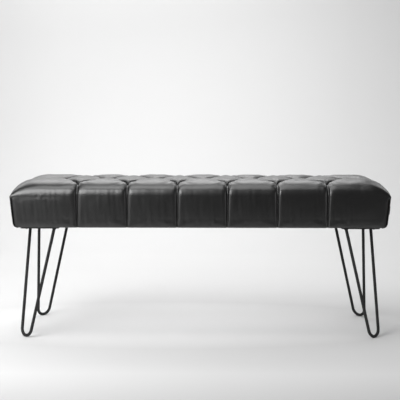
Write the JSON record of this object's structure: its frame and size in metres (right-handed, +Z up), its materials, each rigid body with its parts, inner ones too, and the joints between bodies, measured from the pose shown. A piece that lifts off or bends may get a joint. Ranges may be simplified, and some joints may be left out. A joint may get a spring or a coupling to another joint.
{
  "type": "tufted ottoman",
  "caption": "Long low ottoman: a diamond-tufted black leather seat with pleated sides on slim black two-rod hairpin legs",
  "frame": {"origin": "on the floor under the middle of the seat", "axes": "+X along the seat, -Y to the front, +Z up"},
  "size_m": [1.2242, 0.418, 0.5127],
  "materials": {
    "leather": "satin",
    "twine": "matte",
    "zinc": "satin",
    "batting": "matte",
    "foam": "matte",
    "plywood": "matte",
    "timber": "matte",
    "dust_cloth": "matte",
    "leg_paint": "satin",
    "black_screw": "satin"
  },
  "bodies": {
    "root": {"leather_cover": "leather", "tuft_buttons_front": "leather", "tuft_twine_front": "twine", "twine_washers_front": "zinc", "tuft_buttons_middle": "leather", "tuft_twine_middle": "twine", "twine_washers_middle": "zinc", "tuft_buttons_rear": "leather", "tuft_twine_rear": "twine", "twine_washers_rear": "zinc", "batting_wrap": "batting", "foam_pad": "foam", "seat_deck": "plywood", "front_rail": "timber", "rear_rail": "timber", "left_end_rail": "timber", "right_end_rail": "timber", "left_cross_rail": "timber", "middle_cross_rail": "timber", "right_cross_rail": "timber", "leg_block_front_left": "timber", "leg_block_front_right": "timber", "leg_block_rear_left": "timber", "leg_block_rear_right": "timber", "frame_screws": "zinc", "deck_screws": "zinc", "dust_cover": "dust_cloth", "leg_plate_front_left": "leg_paint", "leg_rod_front_left": "leg_paint", "leg_screws_front_left": "black_screw", "leg_plate_front_right": "leg_paint", "leg_rod_front_right": "leg_paint", "leg_screws_front_right": "black_screw", "leg_plate_rear_left": "leg_paint", "leg_rod_rear_left": "leg_paint", "leg_screws_rear_left": "black_screw", "leg_plate_rear_right": "leg_paint", "leg_rod_rear_right": "leg_paint", "leg_screws_rear_right": "black_screw"}
  },
  "joints": []
}
